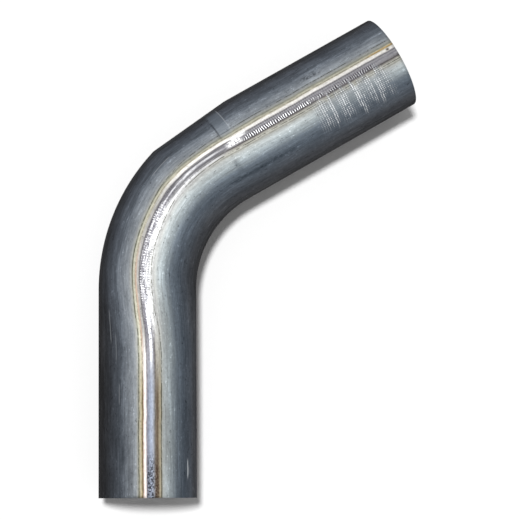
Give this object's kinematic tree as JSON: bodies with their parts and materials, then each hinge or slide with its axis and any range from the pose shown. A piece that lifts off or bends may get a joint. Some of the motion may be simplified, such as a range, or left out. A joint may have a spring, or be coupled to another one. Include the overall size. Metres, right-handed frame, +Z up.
{
  "type": "flue elbow",
  "caption": "Round seam-welded steel tube elbow with a smooth, wide-radius bend between straight legs that end in plain square cuts.",
  "frame": {"origin": "centre of the lower leg's cut end, on the tube's axis", "axes": "+Y up the lower leg towards the bend, +X towards the side the upper leg turns to, +Z up, square to the plane of the bend, through the seam's side"},
  "size_m": [0.2101, 0.315, 0.0636],
  "materials": {
    "tube_steel": "bare mild steel strip, blue-grey mill finish with lengthwise streaks",
    "weld_steel": "planed weld metal, bright with straw and brown heat tint"
  },
  "bodies": {
    "root": {"tube_wall": "tube_steel", "seam_weld": "weld_steel"}
  },
  "joints": []
}
